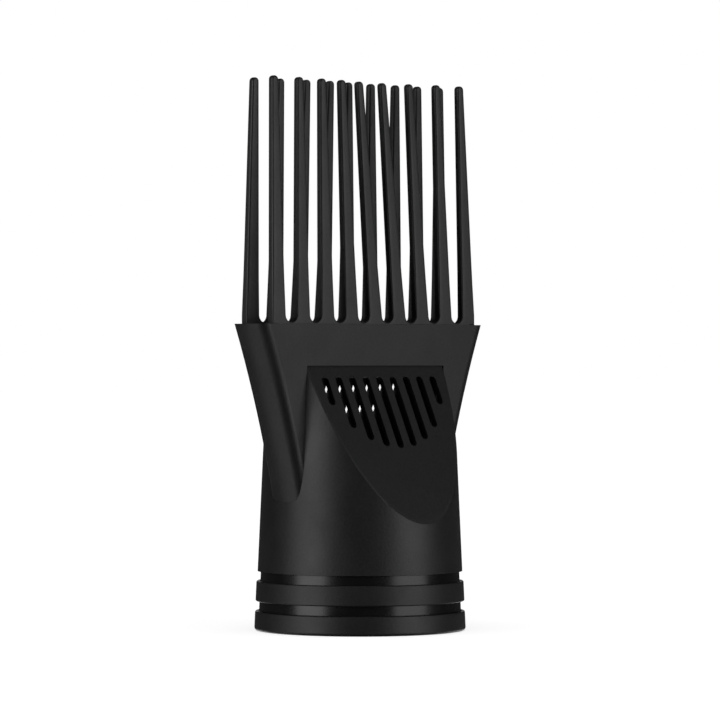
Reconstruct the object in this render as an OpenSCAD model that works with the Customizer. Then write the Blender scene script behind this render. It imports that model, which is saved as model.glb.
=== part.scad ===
// Comb nozzle for a salon hair dryer: a grooved collar that pushes onto the
// dryer's barrel, a round neck, a flared flat head with slotted vents front
// and rear, and two rows of nine tines on either side of the air outlet.
// Origin: centre of the collar's bottom rim. +Z runs up the air path, X runs
// along the comb and -Y is the front.

/* [Collar] */
// Outer diameter of the collar at its bottom rim
collar_d = 56.6; // [54:0.1:60]
// Diameter of the dryer barrel that the sleeve grips
barrel_d = 48; // [44:0.5:49]
// Radius lost by the collar and neck for each millimetre of height
taper = 0.045; // [0.03:0.005:0.06]
// How far the bands stand proud of the neck's line
band_proud = 0.2; // [0:0.05:0.4]
// Height of the bottom band
bottom_band_h = 5.2; // [4:0.1:7]
// Height of the middle band
middle_band_h = 5.4; // [4:0.1:7]
// Height of each groove between the bands
groove_h = 2.6; // [2:0.1:3.5]
// Depth of the grooves
groove_depth = 0.85; // [0.5:0.05:1.2]
// Rounding of the bottom rim
rim_r = 0.9; // [0.3:0.1:0.95]
// Lead-in chamfer at the mouth of the bore
lead_in = 1; // [0.5:0.1:1.5]
// Length of the sleeve's spigot inside the neck
spigot_h = 6.2; // [4:0.1:8]

/* [Neck and head] */
// Wall thickness of the neck and head
wall = 2; // [1.6:0.1:2.4]
// Width of the head at its top lip
head_w = 78.5; // [76:0.1:84]
// Thickness of the head, front to rear
head_t = 13.2; // [12.4:0.1:15]
// Height of the head's top edge above the rim
head_top = 81.6; // [78:0.1:88]
// Height of the straight lip at the top of the head
lip_h = 1.8; // [1:0.1:4]
// Radius of the head's upright corners
corner_r = 3; // [2.2:0.1:4]
// Radius of the cheeks' slight crown, seen from above
crown_r = 18; // [14:1:60]
// Radius of the arc that the cheeks flare along
flare_r = 320; // [300:10:500]
// Slope of the cheeks just under the lip, from the vertical
flare_angle = 19.9; // [18:0.1:21]

/* [Vents] */
// Height of the lowest point of each vent panel
vent_low = 29; // [27:0.1:32]
// Height of the ledge above each vent panel
vent_high = 70.6; // [69:0.1:73]
// Depth of the ledge
ledge = 0.5; // [0.3:0.1:1.2]
// Thickness of the vent grilles
grille_t = 1.6; // [1.2:0.1:2.4]
// Width of the thin lip round each grille
rim_lip = 0.5; // [0.3:0.1:0.8]
// Number of slots in each grille
slot_count = 9; // [5:2:9]
// Distance between the slots' centre lines
slot_pitch = 4.73; // [4.5:0.01:5]
// Width of a slot
slot_w = 2.3; // [1.8:0.1:2.6]
// Height of the slots' upper ends
slot_top = 67.7; // [66:0.1:68.5]
// Height of the middle slot's lower end
slot_low = 48.8; // [44:0.1:54]
// Radius of the arc that the slots' lower ends follow
slot_arc_r = 21.4; // [20.5:0.1:30]

/* [Comb] */
// Distance between tines at their roots
tine_pitch = 8.33; // [8:0.01:8.4]
// Width of a tine at its root
tine_w = 4.35; // [3.6:0.05:4.8]
// Width of a tine at its tip
tip_w = 2.15; // [1.8:0.05:2.6]
// Thickness of a tine at its root
tine_t = 2.3; // [2:0.1:3]
// Thickness of a tine at its tip
tip_t = 1.9; // [1.6:0.1:2.2]
// Height of the tips above the rim
tine_top = 146.5; // [130:0.5:160]
// Height of the web that joins the tines' feet above the head's edge
foot_web = 0.4; // [0.3:0.1:1]
// Height of the rail that seats each comb in the head
rail_h = 6.5; // [4:0.1:7]
// Thickness of that rail
rail_t = 1.3; // [1:0.1:1.5]

/* [Hidden] */

$fn = 96;
matte_black = "#1d1d1e";
gloss_black = "#0c0c0d";
eps = 0.01;
over = 5;

// How far each tine's tip leans towards the other row, from -X to +X. The
// long tines aren't dead straight: they set a little unevenly as they cool.
front_lean = [2, 2.5, 3, 3.8, 5.6, 6, 4.6, 2.6, 2.4];
rear_lean = [0.2, 1, 2, 2.8, 1.4, 0.8, 1.3, 1.1, 0.8];
// How far each tip lies to +X of its root
front_sway = [0.3, 1, 0.9, 0.1, -0.6, -0.4, -0.4, -0.6, -0.7];
rear_sway = [1.2, 1, 0.9, 0.1, -0.6, -0.4, -0.4, -0.6, -0.7];

groove_2_low = bottom_band_h;
groove_2_high = groove_2_low + groove_h;
groove_1_low = groove_2_high + middle_band_h;
neck_low = groove_1_low + groove_h;
spigot_top = neck_low + spigot_h;
spigot_r = barrel_d / 2 + 1.4;
stop_w = 1.5;
stop_h = 2;

half_w = head_w / 2;
half_t = head_t / 2;
lip_low = head_top - lip_h;
head_low = neck_low + spigot_h;
flare_x = half_w + flare_r * cos(flare_angle);
flare_z = lip_low - flare_r * sin(flare_angle);

// Each vent's face is a plane that leans back from the neck to the ledge
vent_low_y = outer_r(vent_low);
vent_high_y = half_t - ledge;
vent_lean = atan((vent_low_y - vent_high_y) / (vent_high - vent_low));

foot_r = (tine_pitch - tine_w) / 2;
foot_h = foot_r + foot_web;
foot_top = head_top + foot_h;
rail_w = 8 * tine_pitch + tine_w;
rail_low = head_top - rail_h;

// Outer radius of the neck at a height, and of its line down over the collar
function outer_r(z) = collar_d / 2 - band_proud - taper * z;

// A cone between two heights that lies a depth below the collar's surface
module taper_solid(low, high, depth) {
    translate([0, 0, low])
        cylinder(h = high - low, r1 = outer_r(low) - depth, r2 = outer_r(high) - depth);
}

// A band round the sleeve, from its outer surface down to the groove's floor
module band(low, high) {
    difference() {
        taper_solid(low, high, -band_proud);
        taper_solid(low - over, high + over, groove_depth);
    }
}

// The end of the head's section, from its cheek's crest at x = 0 inwards: a
// slight crown between two rounded corners
module cheek_section() {
    corner_y = half_t - corner_r;
    corner_x = crown_r - sqrt(pow(crown_r - corner_r, 2) - pow(corner_y, 2));
    crown_y = crown_r * corner_y / (crown_r - corner_r);
    translate([corner_x, -half_t])
        square([head_w, head_t]);
    intersection() {
        translate([crown_r, 0])
            circle(r = crown_r, $fn = 120);
        translate([0, -crown_y])
            square([corner_x + eps, 2 * crown_y]);
    }
    for (side = [-1, 1])
        translate([corner_x, side * corner_y])
            circle(r = corner_r);
}

// The same for the head's inside, where the cheeks are flat
module inside_section() {
    r = corner_r - wall;
    translate([r, wall - half_t])
        square([head_w, head_t - 2 * wall]);
    translate([0, wall + r - half_t])
        square([2 * r, head_t - 2 * (wall + r)]);
    for (side = [-1, 1])
        translate([r, side * (half_t - wall - r)])
            circle(r = r);
}

// A wide ring whose inner edge is the flare of one cheek; its child is a section
module flare_ring(side, inset) {
    translate([side * flare_x, 0, flare_z])
        rotate([90, 0, 0])
            rotate_extrude($fn = 720)
                translate([flare_r + inset, 0])
                    children();
}

// The space between the two flares, from one height to another
module flared(low, high, inset) {
    lip_x = half_w - inset;
    intersection() {
        translate([-lip_x, -head_t, low])
            cube([2 * lip_x, 2 * head_t, high - low]);
        flare_ring(-1, inset)
            children();
        flare_ring(1, inset)
            children();
    }
}

module head_inside(low) {
    flared(low, head_top + over, wall)
        inside_section();
}

// A slab on the front vent's plane, from depth `near` below its face to `far`
module vent_slab(near, far, low_end) {
    translate([0, -vent_low_y, vent_low])
        rotate([-vent_lean, 0, 0])
            translate([-collar_d, near, low_end])
                cube([2 * collar_d, far - near, 2 * vent_high]);
}

// The room that a grille takes inside the thin lip of the neck's window
module grille_room() {
    intersection() {
        vent_slab(0, grille_t, 0);
        taper_solid(0, vent_high, rim_lip);
    }
}

module neck_cone() {
    color(matte_black)
        difference() {
            taper_solid(neck_low, vent_high, 0);
            translate([0, 0, neck_low - over])
                cylinder(h = spigot_h + over, r = spigot_r);
            cylinder(h = vent_high, r = barrel_d / 2 - stop_w);
            taper_solid(spigot_top + stop_h, vent_high + over, wall);
            head_inside(head_low);
            for (turn = [0, 180])
                rotate([0, 0, turn]) {
                    vent_slab(-collar_d, 0, -collar_d);
                    grille_room();
                }
        }
}

module head_shell() {
    color(matte_black)
        difference() {
            flared(head_low, head_top, 0)
                cheek_section();
            head_inside(head_low - over);
            taper_solid(0, vent_high, 0);
            for (turn = [0, 180])
                rotate([0, 0, turn])
                    rail();
        }
}

module vent_grille() {
    color(matte_black)
        difference() {
            grille_room();
            for (i = [0 : slot_count - 1])
                slot((i - (slot_count - 1) / 2) * slot_pitch);
        }
}

// One upright slot with round ends, cut straight through from the front
module slot(x) {
    low = slot_low + slot_arc_r - sqrt(pow(slot_arc_r, 2) - pow(x, 2));
    r = slot_w / 2;
    rotate([90, 0, 0])
        linear_extrude(collar_d) {
            translate([x - r, low + r])
                square([slot_w, slot_top - low - slot_w]);
            for (z = [low + r, slot_top - r])
                translate([x, z])
                    circle(r = r);
        }
}

// The rail that seats the front comb in the head's front wall
module rail() {
    translate([-rail_w / 2, -half_t + tine_t - rail_t, rail_low])
        cube([rail_w, rail_t, rail_h]);
}

// One tine of the front row: its front outline and its side outline, crossed
module tine(x, lean, sway) {
    tip_x = x + sway;
    tip_z = tine_top - tip_w / 2;
    root_y = -half_t;
    tip_y = root_y + lean;
    intersection() {
        rotate([90, 0, 0])
            translate([0, 0, -collar_d])
                linear_extrude(2 * collar_d) {
                    polygon([[x - tine_w / 2, foot_top], [x + tine_w / 2, foot_top],
                             [tip_x + tip_w / 2, tip_z], [tip_x - tip_w / 2, tip_z]]);
                    translate([tip_x, tip_z])
                        circle(r = tip_w / 2);
                }
        rotate([90, 0, 90])
            translate([0, 0, -collar_d])
                linear_extrude(2 * collar_d)
                    polygon([[root_y, foot_top], [root_y + tine_t, foot_top],
                             [tip_y + tip_t, tine_top + eps], [tip_y, tine_top + eps]]);
    }
}

// The strip along the tines' feet, with a round-bottomed gap between each pair
module feet(gaps) {
    translate([0, -half_t + tine_t, 0])
        rotate([90, 0, 0])
            linear_extrude(tine_t)
                difference() {
                    translate([-rail_w / 2, head_top])
                        square([rail_w, foot_h]);
                    for (i = [1 : gaps])
                        translate([(i - (gaps + 1) / 2) * tine_pitch, foot_top])
                            circle(r = foot_r);
                }
}

module comb(lean, sway) {
    last = len(lean) - 1;
    color(matte_black) {
        rail();
        feet(last);
        for (i = [0 : last])
            tine((i - last / 2) * tine_pitch, lean[i], sway[i]);
    }
}

module front_vent_grille() {
    vent_grille();
}

module rear_vent_grille() {
    rotate([0, 0, 180])
        vent_grille();
}

module front_comb() {
    comb(front_lean, front_sway);
}

module rear_comb() {
    mirror([0, 1, 0])
        comb(rear_lean, rear_sway);
}

module grip_sleeve() {
    color(gloss_black)
        difference() {
            union() {
                taper_solid(0, neck_low, groove_depth);
                cylinder(h = spigot_top, r = spigot_r);
            }
            translate([0, 0, -over])
                cylinder(h = spigot_top + 2 * over, r = barrel_d / 2);
            translate([0, 0, -eps])
                cylinder(h = lead_in, r1 = barrel_d / 2 + lead_in, r2 = barrel_d / 2);
        }
}

module middle_band() {
    color(matte_black)
        band(groove_2_high, groove_1_low);
}

module bottom_band() {
    color(matte_black)
        difference() {
            band(0, bottom_band_h);
            rim_cutter();
        }
}

// What the rounding takes off the bottom rim
module rim_cutter() {
    edge = collar_d / 2;
    rotate_extrude()
        difference() {
            translate([edge - rim_r, -over])
                square([rim_r + over, rim_r + over]);
            translate([edge - rim_r, rim_r])
                circle(r = rim_r);
        }
}

neck_cone();
head_shell();
front_vent_grille();
rear_vent_grille();
front_comb();
rear_comb();
grip_sleeve();
middle_band();
bottom_band();
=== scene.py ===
import math

import bmesh
import bpy
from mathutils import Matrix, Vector


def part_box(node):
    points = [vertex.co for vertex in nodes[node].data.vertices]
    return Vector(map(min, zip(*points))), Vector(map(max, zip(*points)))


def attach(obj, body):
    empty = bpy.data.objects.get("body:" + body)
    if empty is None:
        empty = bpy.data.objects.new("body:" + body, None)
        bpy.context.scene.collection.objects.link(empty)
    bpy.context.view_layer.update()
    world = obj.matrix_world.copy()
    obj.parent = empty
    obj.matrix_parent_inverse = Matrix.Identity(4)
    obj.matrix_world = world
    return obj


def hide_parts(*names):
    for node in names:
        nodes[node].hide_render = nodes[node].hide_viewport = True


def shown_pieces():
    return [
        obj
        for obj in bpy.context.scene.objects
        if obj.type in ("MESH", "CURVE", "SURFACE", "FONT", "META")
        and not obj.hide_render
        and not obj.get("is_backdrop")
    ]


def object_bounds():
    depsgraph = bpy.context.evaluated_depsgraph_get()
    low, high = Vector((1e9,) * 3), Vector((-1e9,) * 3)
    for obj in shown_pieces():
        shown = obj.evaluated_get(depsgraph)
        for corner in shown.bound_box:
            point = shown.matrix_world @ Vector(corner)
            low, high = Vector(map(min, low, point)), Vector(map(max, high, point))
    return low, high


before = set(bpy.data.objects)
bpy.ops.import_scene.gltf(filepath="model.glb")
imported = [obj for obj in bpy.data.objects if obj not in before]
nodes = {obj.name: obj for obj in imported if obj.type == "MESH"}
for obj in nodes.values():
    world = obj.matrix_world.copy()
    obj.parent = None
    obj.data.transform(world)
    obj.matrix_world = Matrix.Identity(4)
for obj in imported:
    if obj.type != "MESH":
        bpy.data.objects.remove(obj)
cad_low, cad_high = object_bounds()

MM = 0.001

# ---------------------------------------------------------------- sizes, mm
COMB_LOW, COMB_HIGH = (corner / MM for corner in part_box("front_comb"))
HALF_W, HALF_T, HEAD_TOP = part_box("head_shell")[1] / MM
NECK_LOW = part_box("neck_cone")[0].z / MM
SPIGOT_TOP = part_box("grip_sleeve")[1].z / MM
COLLAR_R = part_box("bottom_band")[1].x / MM

# Tines: the width and thickness at the root and at the tip, and the round gaps between them
TINES = 9
TINE_W, TIP_W = 4.35, 2.15
TINE_T, TIP_T = 2.3, 1.9
TINE_TOP = cad_high.z / MM
RAIL_W = COMB_HIGH.x - COMB_LOW.x
RAIL_LOW = COMB_LOW.z
RAIL_T = 1.3
TINE_PITCH = (RAIL_W - TINE_W) / (TINES - 1)
FOOT_WEB = 0.4
FOOT_R = (TINE_PITCH - TINE_W) / 2
FOOT_TOP = HEAD_TOP + FOOT_WEB + FOOT_R
FOOT_ROUND, TIP_ROUND = 0.3, 0.52         # the rounding of a tine's edges

# How far each tip leans to the other row, and lies to +X of its root
FRONT_LEAN = [2, 2.5, 3, 3.8, 5.6, 6, 4.6, 2.6, 2.4]
REAR_LEAN = [0.2, 1, 2, 2.8, 1.4, 0.8, 1.3, 1.1, 0.8]
FRONT_SWAY = [0.3, 1, 0.9, 0.1, -0.6, -0.4, -0.4, -0.6, -0.7]
REAR_SWAY = [1.2, 1, 0.9, 0.1, -0.6, -0.4, -0.4, -0.6, -0.7]

# Collar and neck
TAPER = 0.045                             # radius lost for each mm of height
BAND_PROUD = 0.2
GROOVE_DEPTH = 0.85
RIM_ROUND, BAND_ROUND = 0.84, 0.35
BORE_R, LEAD_IN, BORE_ROUND = 24.0, 1.0, 0.4
SPIGOT_R, SPIGOT_ROUND = 25.4, 0.3        # the sleeve's upper end, in the neck's socket
STOP_R, STOP_H = 22.5, 2.0                # the ring in the neck that stops the dryer's barrel
WALL = 2.0
HIDDEN_TOP = 40.0                         # where the neck's sides end, inside the head's wall

# Head: the cheeks flare in an arc up to a straight lip, and are crowned seen from above
FLARE_R, FLARE_ANGLE, LIP_H = 320.0, math.radians(19.9), 1.8
FLARE_X = HALF_W + FLARE_R * math.cos(FLARE_ANGLE)
FLARE_Z = HEAD_TOP - LIP_H - FLARE_R * math.sin(FLARE_ANGLE)
CROWN_R, CORNER_R = 18.0, 3.0
CORNER_Y = HALF_T - CORNER_R
CORNER_X = CROWN_R - math.sqrt((CROWN_R - CORNER_R) ** 2 - CORNER_Y ** 2)
MOULD_ROUND = 0.3                         # the rounding of the head's and the slots' edges

# Vents: each leans from the neck's surface in until it lies a ledge behind the head's face
VENT_LOW, VENT_HIGH, LEDGE = 29.0, 70.6, 0.5
GRILLE_T, LIP = 1.6, 0.5                  # a grille's thickness, and the wall's edge about it
SLOT_LOW, SLOT_TOP = 48.8, 67.7           # the middle slot's ends
EDGE_ROUND, EDGE_CUT = 0.7, 0.45          # the horns' rounding, and its greatest reach


def neck_r(z):
    """The neck's radius at a height, and that of its line down over the collar."""
    return COLLAR_R - BAND_PROUD - TAPER * z


VENT_SLOPE = (neck_r(VENT_LOW) - HALF_T + LEDGE) / (VENT_HIGH - VENT_LOW)


# ---------------------------------------------------------------- materials
def near_black(level):
    """A very dark grey with a trace of blue."""
    return (level, level, level + 0.0005, 1)


def principled(name, colour, roughness, specular=0.5):
    """A node material, its tree, and its Principled shader for the procedural parts."""
    material = bpy.data.materials.new(name)
    material.use_nodes = True
    tree = material.node_tree
    shader = tree.nodes["Principled BSDF"]
    shader.inputs["Base Color"].default_value = colour
    shader.inputs["Roughness"].default_value = roughness
    shader.inputs["IOR"].default_value = 1.5
    shader.inputs["Specular IOR Level"].default_value = specular
    return material, tree, shader


def noise(tree, coords, scale, detail, roughness=0.55):
    node = tree.nodes.new("ShaderNodeTexNoise")
    node.inputs["Scale"].default_value = scale
    node.inputs["Detail"].default_value = detail
    node.inputs["Roughness"].default_value = roughness
    tree.links.new(coords.outputs["Object"], node.inputs["Vector"])
    return node.outputs["Fac"]


def spread(tree, value, low, high):
    """A noise value, which stays mostly between 0.3 and 0.7, spread from low to high."""
    node = tree.nodes.new("ShaderNodeMapRange")
    node.inputs["From Min"].default_value = 0.3
    node.inputs["From Max"].default_value = 0.7
    node.inputs["To Min"].default_value = low
    node.inputs["To Max"].default_value = high
    tree.links.new(value, node.inputs["Value"])
    return node.outputs["Result"]


def blend(tree, factor, dark, light):
    node = tree.nodes.new("ShaderNodeMix")
    node.data_type = "RGBA"
    node.inputs["A"].default_value = dark
    node.inputs["B"].default_value = light
    tree.links.new(factor, node.inputs["Factor"])
    return node.outputs["Result"]


def add_bump(tree, shader, height, strength, distance):
    """Bumps on the shader's surface that follow a height value, up to distance metres high."""
    bump = tree.nodes.new("ShaderNodeBump")
    bump.inputs["Strength"].default_value = strength
    bump.inputs["Distance"].default_value = distance
    tree.links.new(height, bump.inputs["Height"])
    tree.links.new(bump.outputs["Normal"], shader.inputs["Normal"])


def matte_plastic(name, dark, light, smooth, rough, grain, specular=0.5):
    """Spark-eroded black plastic: fine even grain, soft cloudy changes of gloss."""
    material, tree, shader = principled(name, near_black(dark), rough, specular)
    coords = tree.nodes.new("ShaderNodeTexCoord")
    cloud = noise(tree, coords, scale=90.0, detail=3.0)
    speck = noise(tree, coords, scale=1500.0, detail=2.0, roughness=0.6)
    tint = blend(tree, spread(tree, speck, 0, 1), near_black(dark), near_black(light))
    tree.links.new(tint, shader.inputs["Base Color"])
    tree.links.new(spread(tree, cloud, smooth, rough), shader.inputs["Roughness"])
    add_bump(tree, shader, speck, strength=grain, distance=0.00006)
    return material


def gloss_plastic(name, level, smooth, rough):
    """Polished black plastic with a faint waviness."""
    material, tree, shader = principled(name, near_black(level), (smooth + rough) / 2)
    coords = tree.nodes.new("ShaderNodeTexCoord")
    wave = noise(tree, coords, scale=140.0, detail=2.0)
    tree.links.new(spread(tree, wave, smooth, rough), shader.inputs["Roughness"])
    add_bump(tree, shader, wave, strength=0.15, distance=0.00005)
    return material


SHELL = matte_plastic("shell_black", 0.010, 0.016, 0.40, 0.50, grain=0.5, specular=0.49)
# The grilles' base colour is set darker than the shell's as painted shade. It stands in for the
# shade that falls in their recessed windows, which lean up towards the dark above.
GRILLE_PAINTED_SHADE = matte_plastic("grille_black_painted_shade", 0.008, 0.013, 0.43, 0.53, grain=0.5, specular=0.45)
COMB = matte_plastic("comb_black", 0.012, 0.018, 0.40, 0.50, grain=0.4, specular=0.60)
BAND = matte_plastic("band_black", 0.010, 0.015, 0.42, 0.52, grain=0.4)
GLOSS = gloss_plastic("sleeve_black", 0.006, 0.22, 0.30)


# ---------------------------------------------------------------- mesh helpers
def add_piece(name, bm, material, replaced, skins=()):
    """Turns bm into a piece that stands for a CAD node and rides on the root body."""
    mesh = bpy.data.meshes.new(name)
    bm.normal_update()
    corners = settled_normals(bm, skins) if skins else None
    bm.to_mesh(mesh)
    bm.free()
    mesh.shade_smooth()
    mesh.materials.append(material)
    piece = bpy.data.objects.new(name, mesh)
    bpy.context.scene.collection.objects.link(piece)
    if corners:
        mesh.normals_split_custom_set(corners)
    else:
        weighted = piece.modifiers.new("weighted_normals", "WEIGHTED_NORMAL")
        weighted.weight = 60
        weighted.keep_sharp = True
    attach(piece, "root")
    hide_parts(replaced)


def settled_normals(bm, skins):
    """One normal for each face corner. A corner that lies on one of the skins takes that
    skin's true normal, so the facets don't show. The others share theirs with the faces
    round about that turn by less than 35 degrees."""
    on_skin, least_agreement, smooth = 0.03, 0.6, math.cos(math.radians(35))
    found = []
    for face in bm.faces:
        for loop in face.loops:
            point = loop.vert.co / MM
            best, agreement = None, least_agreement
            for skin in skins:
                distance, normal = skin(point)
                if abs(distance) < on_skin and normal.dot(face.normal) > agreement:
                    best, agreement = normal, normal.dot(face.normal)
            if best is None:
                best = Vector()
                for other in loop.vert.link_faces:
                    if other.normal.dot(face.normal) > smooth:
                        best += other.normal * other.calc_area()
                best = best.normalized() if best.length > 0 else face.normal.copy()
            found.append(best)
    return found


def moulded_copy(node, keep):
    """A copy of a CAD node's mesh whose sharp edges, where keep says so, are rounded."""
    weld, flat, sharp = 0.02 * MM, math.radians(0.35), math.radians(28)
    bm = bmesh.new()
    bm.from_mesh(nodes[node].data)
    bmesh.ops.remove_doubles(bm, verts=bm.verts, dist=weld)
    bmesh.ops.dissolve_limit(bm, angle_limit=flat, verts=bm.verts, edges=bm.edges)
    edges = [edge for edge in bm.edges
             if edge.is_manifold and edge.calc_face_angle() > sharp and keep(edge)]
    bmesh.ops.bevel(bm, geom=edges, offset=MOULD_ROUND * MM, offset_type="OFFSET", segments=3,
                    profile=0.5, affect="EDGES", clamp_overlap=True)
    return bm


def ring_mesh(sections):
    """A closed mesh through closed sections, each a list of points in mm, all the way round."""
    bm = bmesh.new()
    rings = [[bm.verts.new(Vector(point) * MM) for point in section] for section in sections]
    for here, there in zip(rings, rings[1:] + rings[:1]):
        for j in range(len(here)):
            k = (j + 1) % len(here)
            bm.faces.new((here[j], there[j], there[k], here[k]))
    bmesh.ops.recalc_face_normals(bm, faces=bm.faces)
    return bm


def lathe(profile, segments=256):
    """A closed profile of (radius, z) points turned about Z."""
    angles = [2 * math.pi * i / segments for i in range(segments)]
    return ring_mesh([[(r * math.cos(a), r * math.sin(a), z) for r, z in profile]
                      for a in angles])


def rounded(corners, steps):
    """A closed outline of (radius, z, rounding) corners as (radius, z) points."""
    points = []
    for i, (x, z, size) in enumerate(corners):
        if size <= 0:
            points.append((x, z))
            continue
        here = Vector((x, z))
        before = (Vector(corners[i - 1][:2]) - here).normalized()
        after = (Vector(corners[(i + 1) % len(corners)][:2]) - here).normalized()
        half = before.angle(after) / 2
        cut = size / math.tan(half)
        centre = here + (before + after).normalized() * (size / math.sin(half))
        start = here + before * cut - centre
        end = here + after * cut - centre
        sweep = start.angle_signed(end)
        for k in range(steps + 1):
            turn = -sweep * k / steps
            c, s = math.cos(turn), math.sin(turn)
            points.append((centre.x + start.x * c - start.y * s,
                           centre.y + start.x * s + start.y * c))
    return points


# ---------------------------------------------------------------- combs
FOOT_STEPS, SIDE_STEPS, TIP_STEPS = 7, 14, 6
EDGE_STEPS = 3
FACE_COLUMNS = 2
RAIL_FACE = -1 + 2 * (TINE_T - RAIL_T) / TINE_T     # the depth of the rail's outer face


def tine_side(at_end):
    """The right side of a tine from its foot to the top of its tip, as points (x, z, nx, nz,
    rounding). x is measured from the tine's middle, and (nx, nz) points into the plastic. It
    starts in the middle of the gap or, on the comb's end, straight up from the head's edge."""
    line = []
    for k in range(FOOT_STEPS + 1):
        f = k / FOOT_STEPS
        a = -math.pi / 2 * (1 + f)
        if at_end:
            line.append((TINE_W / 2, HEAD_TOP + (FOOT_TOP - HEAD_TOP) * f, -1.0, 0.0, FOOT_ROUND))
        else:
            line.append((TINE_PITCH / 2 + FOOT_R * math.cos(a), FOOT_TOP + FOOT_R * math.sin(a),
                         math.cos(a), math.sin(a), FOOT_ROUND))
    tip_r = TIP_W / 2
    tip_z = TINE_TOP - tip_r
    for k in range(1, SIDE_STEPS + 1):
        f = k / SIDE_STEPS
        size = FOOT_ROUND + (TIP_ROUND - FOOT_ROUND) * min(1, 6 * f)
        line.append((TINE_W / 2 + f * (tip_r - TINE_W / 2), FOOT_TOP + f * (tip_z - FOOT_TOP),
                     -1.0, 0.0, size))
    for k in range(1, TIP_STEPS + 1):
        a = (math.pi / 2) * k / TIP_STEPS
        line.append((tip_r * math.cos(a), tip_z + tip_r * math.sin(a),
                     -math.cos(a), -math.sin(a), TIP_ROUND))
    return line


def tine_fraction(z):
    """How far up a tine a height lies, from 0 at its foot to 1 at its tip."""
    return max(0.0, (z - FOOT_TOP) / (TINE_TOP - FOOT_TOP))


def half_thickness(z):
    return (TINE_T + tine_fraction(z) * (TIP_T - TINE_T)) / 2


def rounded_edge(point, mirror):
    """From a tine's outer face round one of its sides to the inner face, as points (x, z,
    depth). depth runs from -1 at the outer face to 1 at the inner one."""
    x, z, nx, nz, size = point
    found = []
    for face in (-1, 1):
        arc = []
        for k in range(EDGE_STEPS + 1):
            a = (math.pi / 2) * (1 - k / EDGE_STEPS)
            inset = size * (1 - math.cos(a))
            drop = size * (1 - math.sin(a))
            edge_z = z + nz * inset
            arc.append((mirror * (x + nx * inset), edge_z,
                        face * (1 - drop / half_thickness(edge_z))))
        found += arc if face < 0 else arc[::-1]
    return found


def between(here, there):
    """The points that part the way from one point to another into even columns."""
    parts = [c / (FACE_COLUMNS + 1) for c in range(1, FACE_COLUMNS + 1)]
    return [tuple(a + (b - a) * t for a, b in zip(here, there)) for t in parts]


def tine_rings(i):
    """Closed rings of points (x, z, depth) up tine i, from the outer face's left corner round
    the left side, over the inner face, round the right side and back over the outer face."""
    rings = []
    for left_point, right_point in zip(tine_side(i == 0), tine_side(i == TINES - 1)):
        left, right = rounded_edge(left_point, -1), rounded_edge(right_point, 1)
        rings.append(left + between(left[-1], right[-1]) + right[::-1] + between(right[0], left[0]))
    return rings


def comb_mesh(lean, sway, side):
    """Nine tines on their rail. side is -1 for the front row and 1 for the rear one."""
    weld = 0.004 * MM
    bm = bmesh.new()

    def place(i, x, z, depth):
        """A vertex of tine i, or of the rail under it."""
        f = tine_fraction(z)
        root = (i - (TINES - 1) / 2) * TINE_PITCH
        centre = HALF_T - TINE_T / 2 - f * (lean[i] + (TIP_T - TINE_T) / 2)
        y = side * (centre - depth * half_thickness(z))
        return bm.verts.new(((root + x + f * sway[i]) * MM, y * MM, z * MM))

    for i in range(TINES):
        rings = [[place(i, *point) for point in ring] for ring in tine_rings(i)]
        # the foot's outer and inner faces, each from its left corner to its right one
        foot = rings[0]
        inner_start = 2 * (EDGE_STEPS + 1) - 1
        outer = [foot[0], *reversed(foot[-FACE_COLUMNS - 1:])]
        inner = foot[inner_start:inner_start + FACE_COLUMNS + 2]
        left = -(TINE_W if i == 0 else TINE_PITCH) / 2
        right = (TINE_W if i == TINES - 1 else TINE_PITCH) / 2
        # the rail, in columns from the foot's outer face down, under it and up to its inner one
        columns = []
        for c, (first, last) in enumerate(zip(outer, inner)):
            x = left + (right - left) * c / (FACE_COLUMNS + 1)
            under = [place(i, x, z, depth) for z, depth in (
                (HEAD_TOP, -1), (HEAD_TOP, RAIL_FACE), (RAIL_LOW, RAIL_FACE), (RAIL_LOW, 1),
                (HEAD_TOP, 1))]
            columns.append([first, *under, last])
        for here, there in zip(columns, columns[1:]):
            for corners in zip(here, here[1:], there[1:], there):
                bm.faces.new(corners)
        for low, high in zip(rings, rings[1:]):
            for j in range(len(low)):
                k = (j + 1) % len(low)
                bm.faces.new((low[j], low[k], high[k], high[j]))
    bmesh.ops.remove_doubles(bm, verts=bm.verts, dist=weld)
    bmesh.ops.dissolve_degenerate(bm, dist=weld / 2, edges=bm.edges)
    bmesh.ops.holes_fill(bm, edges=[edge for edge in bm.edges if edge.is_boundary], sides=0)
    bmesh.ops.recalc_face_normals(bm, faces=bm.faces)
    return bm


add_piece("front_comb_moulding", comb_mesh(FRONT_LEAN, FRONT_SWAY, -1), COMB,
          "front_comb")
add_piece("rear_comb_moulding", comb_mesh(REAR_LEAN, REAR_SWAY, 1), COMB,
          "rear_comb")


# ---------------------------------------------------------------- true surfaces
# A skin takes a point in mm and gives how far it lies outside a surface, and the normal there
def cone_skin(point):
    """The neck's cone."""
    r = math.hypot(point.x, point.y)
    normal = Vector((point.x / r, point.y / r, TAPER)).normalized() if r else Vector((0, 0, 1))
    return r - neck_r(point.z), normal


def flat_skin(side):
    """The head's front (side -1) or rear face."""
    return lambda point: (side * point.y - HALF_T, Vector((0, side, 0)))


def vent_plane(side):
    """The lowest point and the normal of the front (side -1) or rear vent's leaning plane."""
    return Vector((0, side * neck_r(VENT_LOW), VENT_LOW)), Vector((0, side, VENT_SLOPE)).normalized()


def vent_skin(side):
    low, normal = vent_plane(side)
    return lambda point: ((point - low).dot(normal), normal)


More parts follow.
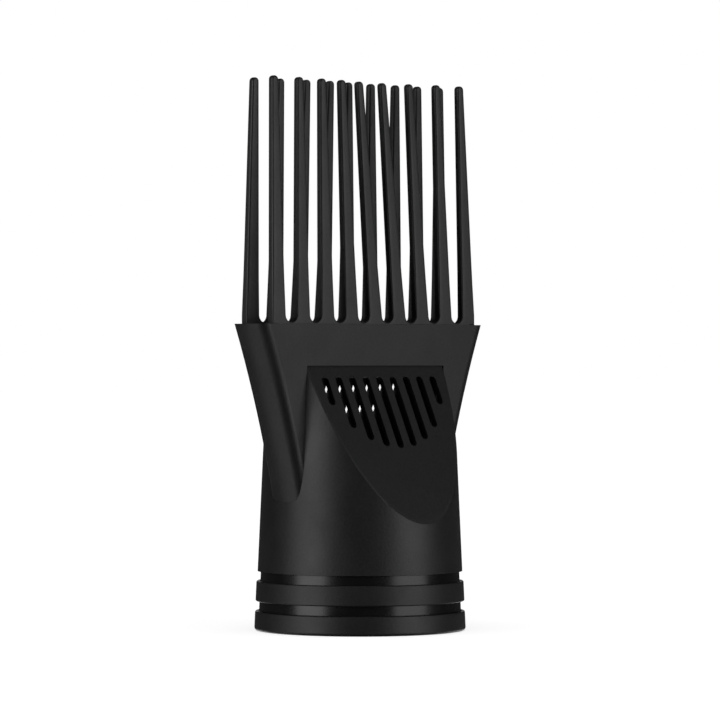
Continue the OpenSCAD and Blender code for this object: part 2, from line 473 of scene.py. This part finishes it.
def cheek_skin(side, radius, centre_x, centre_y):
    """A cheek's crown or one of its corners: an arc of that radius, whose centre lies
    centre_x in from the crest, carried along the flare."""
    tiny = 0.01

    def skin(point):
        out = Vector((point.x - side * FLARE_X, 0, point.z - FLARE_Z))
        reach = out.length - FLARE_R - centre_x
        across = point.y - centre_y
        if reach > 0 or (centre_y and across * centre_y < 0):
            return 1.0, Vector((0, 0, 1))     # beyond the arc's ends
        normal = out.normalized() * reach + Vector((0, across, 0))
        outside = normal.length - radius
        if side * point.x > HALF_W - tiny and outside < 0:
            outside = 0.0             # the lip's narrow flat takes its light as the flare does
        return outside, normal.normalized()
    return skin


NECK_SKINS = [cone_skin, vent_skin(-1), vent_skin(1)]
HEAD_SKINS = [flat_skin(-1), flat_skin(1)]
for end in (-1, 1):
    HEAD_SKINS.append(cheek_skin(end, CROWN_R, CROWN_R, 0))
    HEAD_SKINS += [cheek_skin(end, CORNER_R, CORNER_X, y) for y in (-CORNER_Y, CORNER_Y)]


# ---------------------------------------------------------------- neck
NECK_ROWS = 16
NECK_SPACING = 1.0                        # along the neck's top edge, mm
EDGE_ARC = 4                              # steps round that edge


def turned(r, angle, z):
    """The point at a radius and a height in a direction, which is measured from the front."""
    return Vector((r * math.sin(angle), -r * math.cos(angle), z))


def on_neck(angle, z, depth=0.0):
    """A point on the neck's cone, or that deep inside it."""
    return turned(neck_r(z) - depth, angle, z)


def top_plane(angle):
    """The plane that ends the neck's wall in that direction: (a point on it, its normal)."""
    for side in (-1, 1):
        low, normal = vent_plane(side)
        horn = on_neck(angle, VENT_HIGH)
        if side * horn.y > 0 and (horn - low).dot(normal) > 0:
            return low, normal
    return Vector((0, 0, HIDDEN_TOP)), Vector((0, 0, 1))


def neck_top(angle, depth=0.0, below=0.0):
    """Where the neck's wall, at a depth in it, meets the plane that lies `below` its top."""
    point, normal = top_plane(angle)
    low, high = SPIGOT_TOP, VENT_HIGH + WALL
    halvings = 40
    for _ in range(halvings):
        z = (low + high) / 2
        if (on_neck(angle, z, depth) - point).dot(normal) > -below:
            high = z
        else:
            low = z
    return on_neck(angle, low, depth)


def neck_angles():
    """Directions about the neck, closer together where the horns climb."""
    steps, angles = 2400, []
    run, last = 0.0, neck_top(0.0)
    for i in range(steps):
        angle = 2 * math.pi * i / steps
        here = neck_top(angle)
        run += (here - last).length
        last = here
        if not angles or run >= NECK_SPACING:
            angles.append(angle)
            run = 0.0
    return angles


def facing(direction, away):
    """A unit vector along the direction, turned round if it points the way of the other."""
    return (-direction if direction.dot(away) > 0 else direction).normalized()


def neck_section(angle):
    """The neck's wall in one direction, as a closed line of points from its lower edge up."""
    tiny = 1e-4
    edge = neck_top(angle)
    along = (neck_top(angle + tiny) - neck_top(angle - tiny)).normalized()
    skin = cone_skin(edge)[1]
    down = facing(skin.cross(along), Vector((0, 0, 1)))
    inward = facing(top_plane(angle)[1].cross(along), skin)
    half = down.angle(inward) / 2
    cut = min(EDGE_ROUND / math.tan(half), EDGE_CUT)
    size = cut * math.tan(half)
    middle = edge + (down + inward).normalized() * (size / math.sin(half))
    start, end = edge + down * cut - middle, edge + inward * cut - middle
    first = middle + start
    turn = (math.atan2(first.x, -first.y) - angle + math.pi) % (2 * math.pi) - math.pi
    points = []
    for k in range(NECK_ROWS):
        t = k / NECK_ROWS
        points.append(on_neck(angle + turn * t, NECK_LOW + (first.z - NECK_LOW) * t))
    for k in range(EDGE_ARC + 1):
        points.append(middle + start.normalized().slerp(end.normalized(), k / EDGE_ARC) * size)
    points += [neck_top(angle, LIP), neck_top(angle, LIP, GRILLE_T),
               neck_top(angle, WALL, GRILLE_T), on_neck(angle, SPIGOT_TOP + STOP_H, WALL),
               turned(STOP_R, angle, SPIGOT_TOP + STOP_H), turned(STOP_R, angle, SPIGOT_TOP),
               turned(SPIGOT_R, angle, SPIGOT_TOP), turned(SPIGOT_R, angle, NECK_LOW)]
    return points


add_piece("neck_moulding", ring_mesh([neck_section(angle) for angle in neck_angles()]), SHELL,
          "neck_cone", NECK_SKINS)


# ---------------------------------------------------------------- head and grilles
def off_the_seam(edge):
    """False on the head's top edge, where the feet of the tines lie flush."""
    below, beside = 0.1, 0.2
    middle = (edge.verts[0].co + edge.verts[1].co) / 2 / MM
    return not (middle.z > RAIL_LOW - below and abs(middle.x) < RAIL_W / 2 + beside)


def off_the_border(edge):
    """True on a slot's edges only: a grille lies flush in its window."""
    below, above, border = 0.6, 0.2, 1.2
    middle = (edge.verts[0].co + edge.verts[1].co) / 2 / MM
    return (SLOT_LOW - below < middle.z < SLOT_TOP + above
            and math.hypot(middle.x, middle.y) < neck_r(middle.z) - border)


add_piece("head_moulding", moulded_copy("head_shell", off_the_seam), SHELL,
          "head_shell", HEAD_SKINS)
for side, name in ((-1, "front"), (1, "rear")):
    add_piece(name + "_grille_moulding", moulded_copy(name + "_vent_grille", off_the_border),
              GRILLE_PAINTED_SHADE, name + "_vent_grille", [vent_skin(side)])


# ---------------------------------------------------------------- sleeve and bands
def add_band(name, foot_round):
    """A ring about the sleeve, from the groove's floor to its proud outer surface."""
    low, high = (corner.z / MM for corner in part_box(name))
    profile = rounded([(neck_r(low) - GROOVE_DEPTH, low, 0),
                       (neck_r(low) + BAND_PROUD, low, foot_round),
                       (neck_r(high) + BAND_PROUD, high, BAND_ROUND),
                       (neck_r(high) - GROOVE_DEPTH, high, 0)], steps=5)
    add_piece(name + "_ring", lathe(profile), BAND, name)


add_band("bottom_band", RIM_ROUND)
add_band("middle_band", BAND_ROUND)
sleeve_profile = rounded([
    (BORE_R + LEAD_IN, 0, 0), (neck_r(0) - GROOVE_DEPTH, 0, 0),
    (neck_r(NECK_LOW) - GROOVE_DEPTH, NECK_LOW, 0), (SPIGOT_R, NECK_LOW, 0),
    (SPIGOT_R, SPIGOT_TOP, SPIGOT_ROUND), (BORE_R, SPIGOT_TOP, SPIGOT_ROUND),
    (BORE_R, LEAD_IN, BORE_ROUND)], steps=4)
add_piece("grip_sleeve_moulding", lathe(sleeve_profile), GLOSS, "grip_sleeve")


# ---------------------------------------------------------------- stage
VIEW_AZIMUTH = -40.8                      # the camera's direction, in degrees from the front
CAMERA_DISTANCE = 1.08
CAMERA_LENS = 202.0
EYE = Vector((0, 0, 72.1 * MM))           # the point that the camera looks at
FLOOR_SIZE = 6.0
FLOOR_GAP = 0.02 * MM
centre = (cad_low + cad_high) / 2


def look_from(azimuth, elevation):
    """The unit vector from the object to a viewer in that direction."""
    a, e = math.radians(azimuth), math.radians(elevation)
    return Vector((math.sin(a) * math.cos(e), -math.cos(a) * math.cos(e), math.sin(e)))


bm = bmesh.new()
bmesh.ops.create_grid(bm, x_segments=8, y_segments=8, size=FLOOR_SIZE)
floor_mesh = bpy.data.meshes.new("floor")
bm.to_mesh(floor_mesh)
bm.free()
floor = bpy.data.objects.new("floor", floor_mesh)
floor.location.z = cad_low.z - FLOOR_GAP
bpy.context.scene.collection.objects.link(floor)
floor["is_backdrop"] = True
floor_material, _, floor_shader = principled("floor_white", (0.9, 0.9, 0.9, 1), 0.8, 0)
floor_shader.inputs["Emission Color"].default_value = (1, 1, 1, 1)
floor_shader.inputs["Emission Strength"].default_value = 0.72
floor_mesh.materials.append(floor_material)
floor.visible_glossy = False
floor.visible_diffuse = False
floor.visible_shadow = False

# The world is a white backdrop to the camera and nearly dark to everything else
world = bpy.data.worlds.new("studio")
bpy.context.scene.world = world
world.use_nodes = True
tree = world.node_tree
dim = tree.nodes["Background"]
backdrop = tree.nodes.new("ShaderNodeBackground")
for node, strength in ((dim, 0.03), (backdrop, 1.0)):
    node.inputs["Color"].default_value = (1, 1, 1, 1)
    node.inputs["Strength"].default_value = strength
path = tree.nodes.new("ShaderNodeLightPath")
mix = tree.nodes.new("ShaderNodeMixShader")
tree.links.new(path.outputs["Is Camera Ray"], mix.inputs["Fac"])
tree.links.new(dim.outputs["Background"], mix.inputs[1])
tree.links.new(backdrop.outputs["Background"], mix.inputs[2])
tree.links.new(mix.outputs["Shader"], tree.nodes["World Output"].inputs["Surface"])


# ---------------------------------------------------------------- lights
floor_lit = bpy.data.collections.new("floor_lit")
floor_lit.objects.link(floor)
object_lit = bpy.data.collections.new("object_lit")
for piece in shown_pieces():
    object_lit.objects.link(piece)


def lamp(name, kind, azimuth, elevation, distance, strength, receivers):
    """A lamp that looks at the object from a direction and lights only its receivers."""
    light = bpy.data.lights.new(name, kind)
    light.energy = strength
    thing = bpy.data.objects.new(name, light)
    thing.location = centre + look_from(azimuth, elevation) * distance
    thing.rotation_euler = look_from(azimuth, elevation).to_track_quat("Z", "Y").to_euler()
    thing.light_linking.receiver_collection = receivers
    thing.visible_camera = False
    bpy.context.scene.collection.objects.link(thing)
    return light


def softbox(name, azimuth, elevation, distance, width, height, power):
    """A rectangular light on the object, placed by its direction from the camera's own."""
    light = lamp(name, "AREA", VIEW_AZIMUTH + azimuth, elevation, distance, power, object_lit)
    light.shape = "RECTANGLE"
    light.size, light.size_y = width, height


sky = lamp("floor_sky", "SUN", VIEW_AZIMUTH, elevation=75, distance=1.0, strength=1.1,
           receivers=floor_lit)
sky.angle = math.radians(100)
softbox("left_softbox", -58, 8, 0.9, 0.62, 0.9, 3.7)
softbox("right_softbox", 59.5, 8, 0.9, 0.70, 0.9, 3.1)
softbox("low_right_card", 76, -34, 0.8, 0.30, 0.3, 0.30)
softbox("low_left_card", -89, -34, 0.8, 0.33, 0.4, 0.39)
softbox("top_softbox", 0, 80, 1.0, 0.6, 0.6, 0.35)
softbox("rear_softbox", 180, 6, 1.0, 0.4, 0.4, 0.6)
softbox("rear_low_card", 180, -30, 1.0, 0.8, 0.4, 1.3)
softbox("rear_left_card", -156, -30, 0.9, 0.4, 0.4, 0.8)
softbox("rear_right_card", 145, -30, 0.9, 0.5, 0.4, 1.0)


# ---------------------------------------------------------------- camera
camera_data = bpy.data.cameras.new("camera")
camera_data.lens = CAMERA_LENS
camera_data.clip_start, camera_data.clip_end = 0.05, 50
camera = bpy.data.objects.new("camera", camera_data)
camera.location = EYE + look_from(VIEW_AZIMUTH, 0) * CAMERA_DISTANCE
camera.rotation_euler = look_from(VIEW_AZIMUTH, 0).to_track_quat("Z", "Y").to_euler()
bpy.context.scene.collection.objects.link(camera)
bpy.context.scene.camera = camera
bpy.context.scene.view_settings.view_transform = "Standard"
